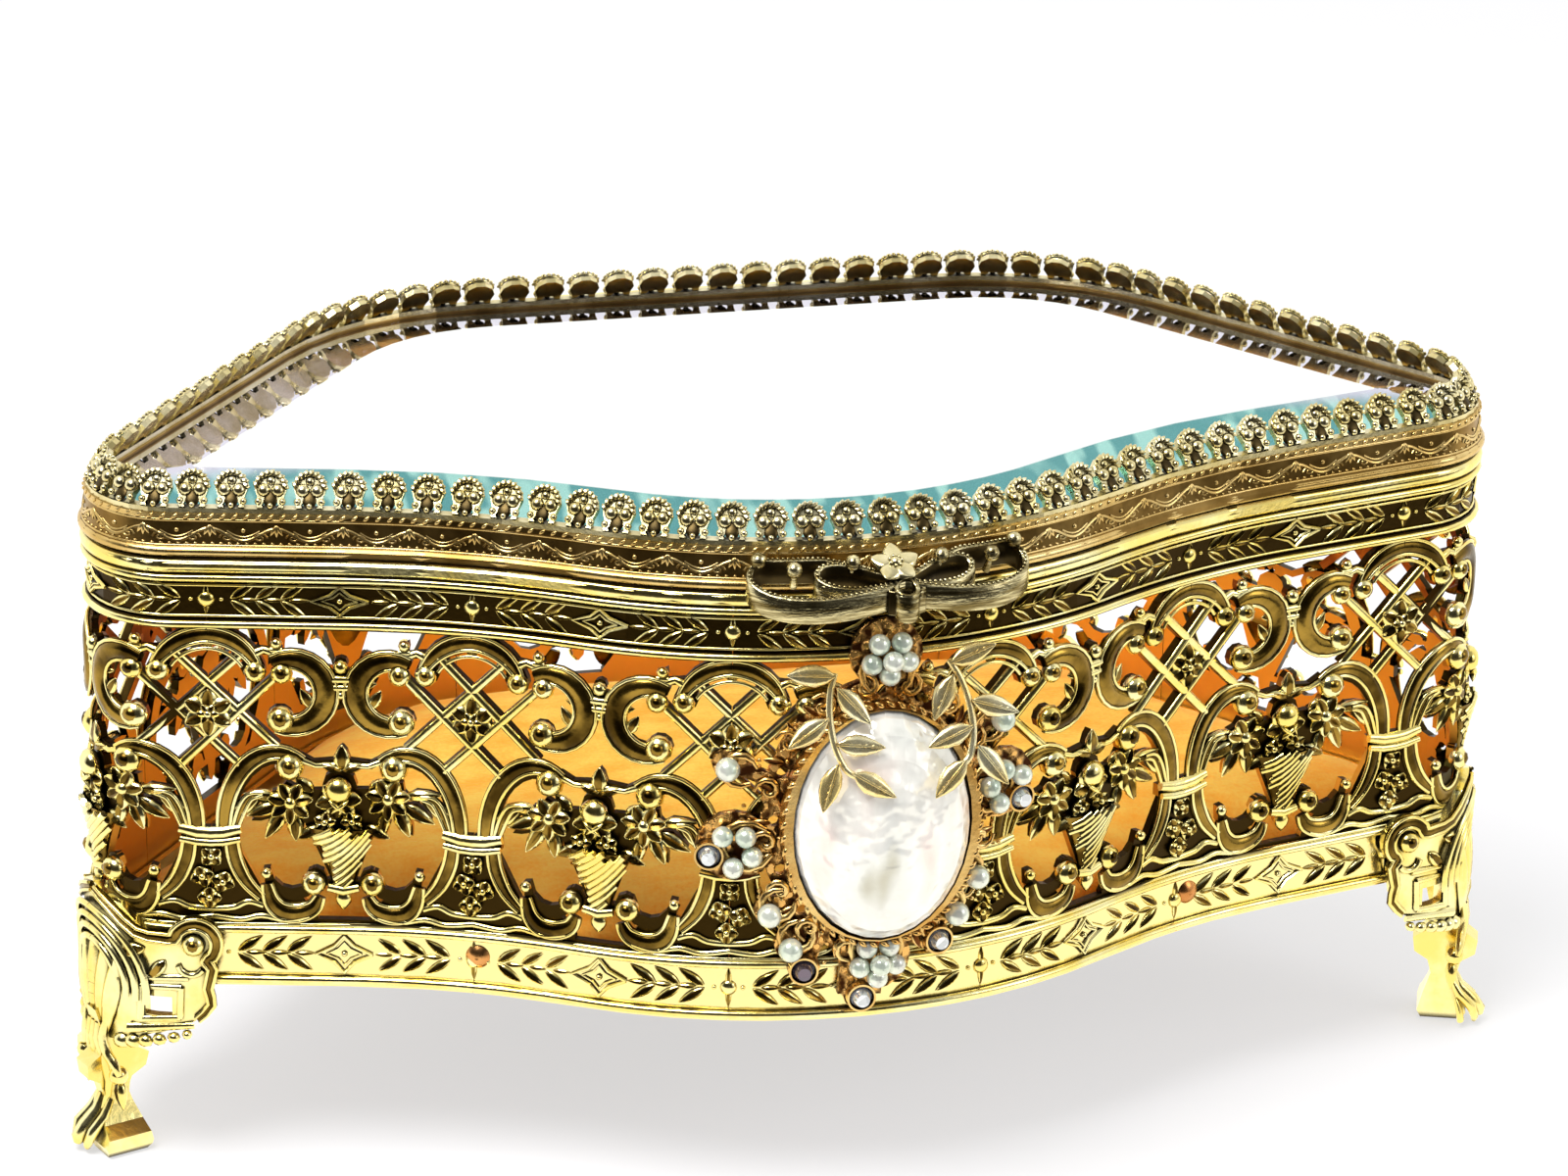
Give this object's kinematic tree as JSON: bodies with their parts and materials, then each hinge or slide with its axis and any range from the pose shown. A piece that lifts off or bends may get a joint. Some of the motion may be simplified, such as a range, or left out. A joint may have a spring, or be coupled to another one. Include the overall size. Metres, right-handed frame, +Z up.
{
  "type": "glass casket box",
  "caption": "Small bow-fronted openwork metal jewel casket on scroll feet, with a hinged bevelled glass lid, a velvet pad and a set brooch on the front.",
  "frame": {"origin": "on the floor under the middle of the bounding box, between the four feet", "axes": "+Z up, -Y towards the bowed front with the brooch, +X along the long side"},
  "size_m": [0.1837, 0.1072, 0.0906],
  "materials": {
    "gilt_brass": "polished gilt stamping with dark patina in the hollows",
    "antique_brass": "antique gilt casting",
    "brooch_gilt": "satin copper-gold plate",
    "copper_rivet": "polished dome",
    "clear_glass": "polished plate with ground bevels",
    "moon_glass": "milky polished dome",
    "cut_glass": "faceted and foiled",
    "imitation_pearl": "pearl lustre",
    "gold_velvet": "short pile velvet",
    "felt_cloth": "plain felt",
    "pad_board": "raw pressed board",
    "steel_pin": "drawn wire"
  },
  "bodies": {
    "box": {"wall_front": "gilt_brass", "wall_left": "gilt_brass", "wall_right": "gilt_brass", "wall_back": "gilt_brass", "body_rim": "gilt_brass", "base_pan": "gilt_brass", "underside_cloth": "felt_cloth", "pad_card": "pad_board", "velvet_pad": "gold_velvet", "pan_rivets": "copper_rivet", "foot_front_left": "gilt_brass", "foot_front_right": "gilt_brass", "foot_back_left": "gilt_brass", "foot_back_right": "gilt_brass", "hinge_body_leaf": "gilt_brass", "hinge_pin": "steel_pin", "brooch_plate": "brooch_gilt", "cabochon_bezel": "brooch_gilt", "cabochon": "moon_glass", "leaf_spray_left": "brooch_gilt", "leaf_spray_right": "brooch_gilt", "pearls_top": "imitation_pearl", "pearls_left": "imitation_pearl", "pearls_right": "imitation_pearl", "pearls_bottom": "imitation_pearl", "pearls_single": "imitation_pearl", "stone_cups": "brooch_gilt", "cut_stones": "cut_glass"},
    "lid": {"lid_frame": "antique_brass", "lid_gallery": "antique_brass", "lid_glass": "clear_glass", "hinge_lid_leaf": "gilt_brass", "thumb_bow": "antique_brass", "bow_flower": "antique_brass", "bow_beads": "antique_brass"}
  },
  "joints": [
    {"name": "lid_hinge", "type": "hinge", "parent": "box", "child": "lid", "pos_m": [0, 0.05217, 0.0808], "axis": [-1, 0, 0], "range_deg": [0, 100]}
  ]
}
